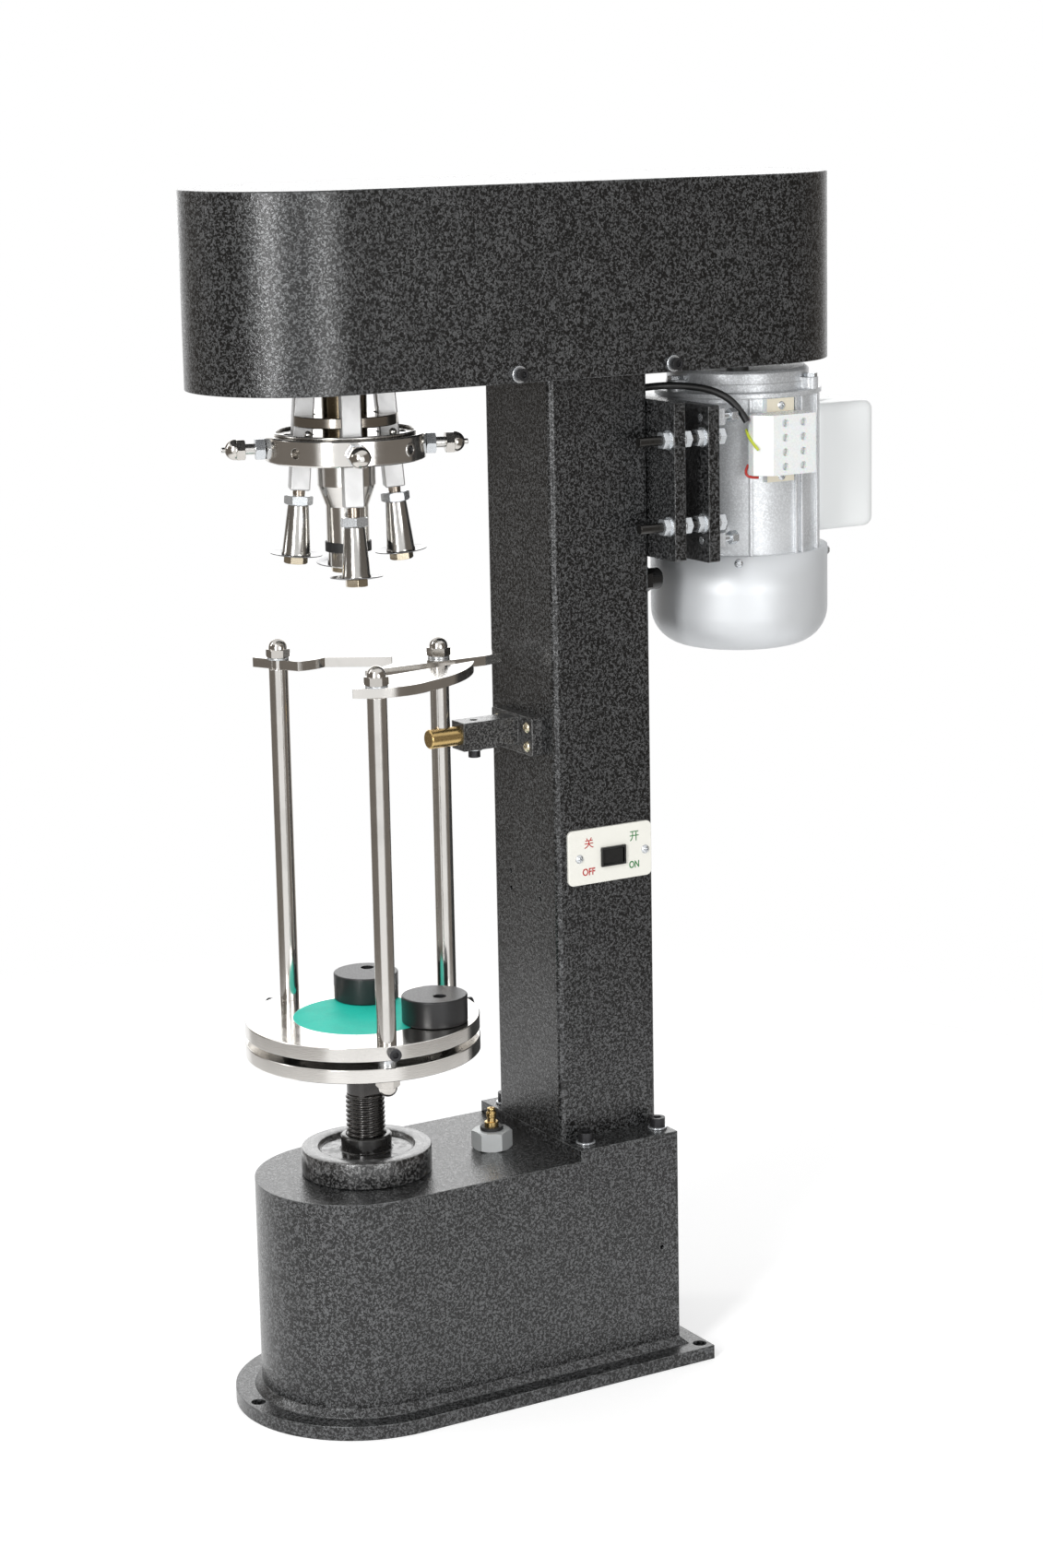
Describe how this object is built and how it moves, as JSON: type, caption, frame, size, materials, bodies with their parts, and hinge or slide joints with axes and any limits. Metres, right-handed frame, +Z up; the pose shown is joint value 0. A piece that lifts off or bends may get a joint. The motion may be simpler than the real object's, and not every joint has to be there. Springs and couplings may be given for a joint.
{
  "type": "capping machine",
  "caption": "Bench capping machine: spinning head with closing rollers over a screw-lifted bottle platform, on a round-front base with a rear drive motor.",
  "frame": {"origin": "spindle axis at the underside of the base plate", "axes": "+Z up along the spindle, -Y towards the operator, +X towards the side with the switch"},
  "size_m": [0.212, 0.6319, 1],
  "materials": {
    "hammered_paint": "hammered charcoal enamel with light flecks",
    "black_oxide": "black oxide steel",
    "bearing_steel": "ground",
    "satin_brass": "satin",
    "bronze": "turned",
    "yellow_zinc": "yellow zinc",
    "ivory_plastic": "gloss ivory",
    "black_plastic": "moulded",
    "zinc_steel": "zinc plated",
    "wheel_paint": "hammered rim and gloss black face",
    "greased_steel": "blackened and greased",
    "polished_steel": "mirror polished",
    "pulley_iron": "turned",
    "nickel": "warm nickel",
    "grip_pad": "smooth teal green",
    "black_nylon": "satin turned",
    "black_rubber": "smooth",
    "bright_steel": "pale drawn bar",
    "motor_silver": "silver paint",
    "rotor_steel": "machined",
    "clear_plastic": "translucent white",
    "box_silver": "pale silver paint"
  },
  "bodies": {
    "frame": {"base_plate": "hammered_paint", "base_housing": "hammered_paint", "column_flange": "hammered_paint", "column": "hammered_paint", "fixed_plate": "hammered_paint", "top_plate": "hammered_paint", "upper_cover": "hammered_paint", "bearing_housing": "hammered_paint", "spindle_bearings": "bearing_steel", "m8_screws": "black_oxide", "m6_screws": "black_oxide", "guide_bracket": "hammered_paint", "guide_pin": "satin_brass", "bracket_screws": "yellow_zinc", "switch_plate": "ivory_plastic", "switch_body": "black_plastic", "lubrication_fitting": "zinc_steel", "lift_bush": "bronze", "v_belt": "black_rubber", "motor_plate": "hammered_paint", "tension_studs": "black_oxide", "stud_nuts": "zinc_steel", "motor_frame": "motor_silver", "motor_feet": "motor_silver", "motor_end_shield": "motor_silver", "motor_bolts": "zinc_steel", "fan_cowl": "motor_silver", "terminal_block": "clear_plastic", "capacitor_box": "box_silver", "pan_screws": "zinc_steel", "motor_cable": "black_rubber", "cable_gland": "black_plastic"},
    "motor_rotor": {"motor_shaft": "rotor_steel", "motor_pulley": "pulley_iron"},
    "head": {"spindle": "polished_steel", "spindle_pulley": "pulley_iron", "head_disc": "polished_steel", "head_ring": "polished_steel", "ring_bolts": "nickel", "garter_ring": "polished_steel", "pressure_sleeve": "polished_steel", "pressure_ring": "black_rubber"},
    "plunger": {"cap_plunger": "polished_steel"},
    "wheel": {"lock_wheel": "wheel_paint"},
    "platform": {"lift_screw": "greased_steel", "lower_disc": "polished_steel", "platform_disc": "polished_steel", "bottle_pad": "grip_pad", "platform_posts": "polished_steel", "post_fasteners": "nickel", "platform_screws": "black_oxide", "neck_plates": "polished_steel"},
    "stop_right": {"bottle_stop_right": "black_nylon"},
    "stop_left": {"bottle_stop_left": "black_nylon"},
    "switch_rocker": {"rocker": "black_plastic"},
    "right_arm": {"arm_right": "bright_steel"},
    "right_roller": {"roller_right": "polished_steel"},
    "rear_arm": {"arm_rear": "bright_steel"},
    "rear_roller": {"roller_rear": "polished_steel"},
    "left_arm": {"arm_left": "bright_steel"},
    "left_roller": {"roller_left": "polished_steel"},
    "front_arm": {"arm_front": "bright_steel"},
    "front_roller": {"roller_front": "polished_steel"}
  },
  "joints": [
    {"name": "wheel_turn", "type": "hinge", "parent": "frame", "child": "wheel", "pos_m": [0, 0, 0.2], "axis": [0, 0, 1], "range_deg": [-3590, 5390]},
    {"name": "platform_lift", "type": "slide", "parent": "frame", "child": "platform", "axis": [0, 0, 1], "range_m": [-0.04, 0.06]},
    {"name": "head_spin", "type": "hinge", "parent": "frame", "child": "head", "pos_m": [0, 0, 0.88], "axis": [0, 0, 1], "continuous": true},
    {"name": "motor_spin", "type": "hinge", "parent": "frame", "child": "motor_rotor", "pos_m": [0, 0.376, 0.75], "axis": [0, 0, 1], "continuous": true},
    {"name": "plunger_slide", "type": "slide", "parent": "head", "child": "plunger", "axis": [0, 0, 1], "range_m": [0, 0.012], "stiffness_N_per_m": 400, "springref_m": -0.006},
    {"name": "rocker_tilt", "type": "hinge", "parent": "frame", "child": "switch_rocker", "pos_m": [0.0518, 0.21025, 0.44255], "axis": [0, 0, 1], "range_deg": [0, 16]},
    {"name": "stop_right_turn", "type": "hinge", "parent": "platform", "child": "stop_right", "pos_m": [0.0576, 0.0412, 0.337], "axis": [0, 0, 1], "range_deg": [-60, 60]},
    {"name": "stop_left_turn", "type": "hinge", "parent": "platform", "child": "stop_left", "pos_m": [-0.0547, 0.034, 0.337], "axis": [0, 0, 1], "range_deg": [-60, 60]},
    {"name": "right_arm_swing", "type": "hinge", "parent": "head", "child": "right_arm", "pos_m": [0.03383, -0.01231, 0.789], "axis": [0.342, 0.9397, 0], "range_deg": [0, 3], "stiffness_Nm_per_rad": 3, "springref_deg": -2.86},
    {"name": "right_roller_spin", "type": "hinge", "parent": "right_arm", "child": "right_roller", "pos_m": [0.04071, -0.01482, 0.69599], "axis": [-0.0737, 0.0268, 0.9969], "continuous": true},
    {"name": "rear_arm_swing", "type": "hinge", "parent": "head", "child": "rear_arm", "pos_m": [0.01231, 0.03383, 0.789], "axis": [-0.9397, 0.342, 0], "range_deg": [0, 3], "stiffness_Nm_per_rad": 3, "springref_deg": -2.86},
    {"name": "rear_roller_spin", "type": "hinge", "parent": "rear_arm", "child": "rear_roller", "pos_m": [0.01443, 0.03965, 0.71024], "axis": [-0.0268, -0.0737, 0.9969], "continuous": true},
    {"name": "left_arm_swing", "type": "hinge", "parent": "head", "child": "left_arm", "pos_m": [-0.03383, 0.01231, 0.789], "axis": [-0.342, -0.9397, 0], "range_deg": [0, 3], "stiffness_Nm_per_rad": 3, "springref_deg": -2.86},
    {"name": "left_roller_spin", "type": "hinge", "parent": "left_arm", "child": "left_roller", "pos_m": [-0.04071, 0.01482, 0.69599], "axis": [0.0737, -0.0268, 0.9969], "continuous": true},
    {"name": "front_arm_swing", "type": "hinge", "parent": "head", "child": "front_arm", "pos_m": [-0.01231, -0.03383, 0.789], "axis": [0.9397, -0.342, 0], "range_deg": [0, 3], "stiffness_Nm_per_rad": 3, "springref_deg": -2.86},
    {"name": "front_roller_spin", "type": "hinge", "parent": "front_arm", "child": "front_roller", "pos_m": [-0.01443, -0.03965, 0.71024], "axis": [0.0268, 0.0737, 0.9969], "continuous": true}
  ],
  "couplings": [
    {"joint": "platform_lift", "follows": "wheel_turn", "m_per_rad": 0.00063662},
    {"joint": "motor_spin", "follows": "head_spin", "ratio": 2},
    {"joint": "rear_arm_swing", "follows": "right_arm_swing", "ratio": 1},
    {"joint": "left_arm_swing", "follows": "right_arm_swing", "ratio": 1},
    {"joint": "front_arm_swing", "follows": "right_arm_swing", "ratio": 1}
  ]
}
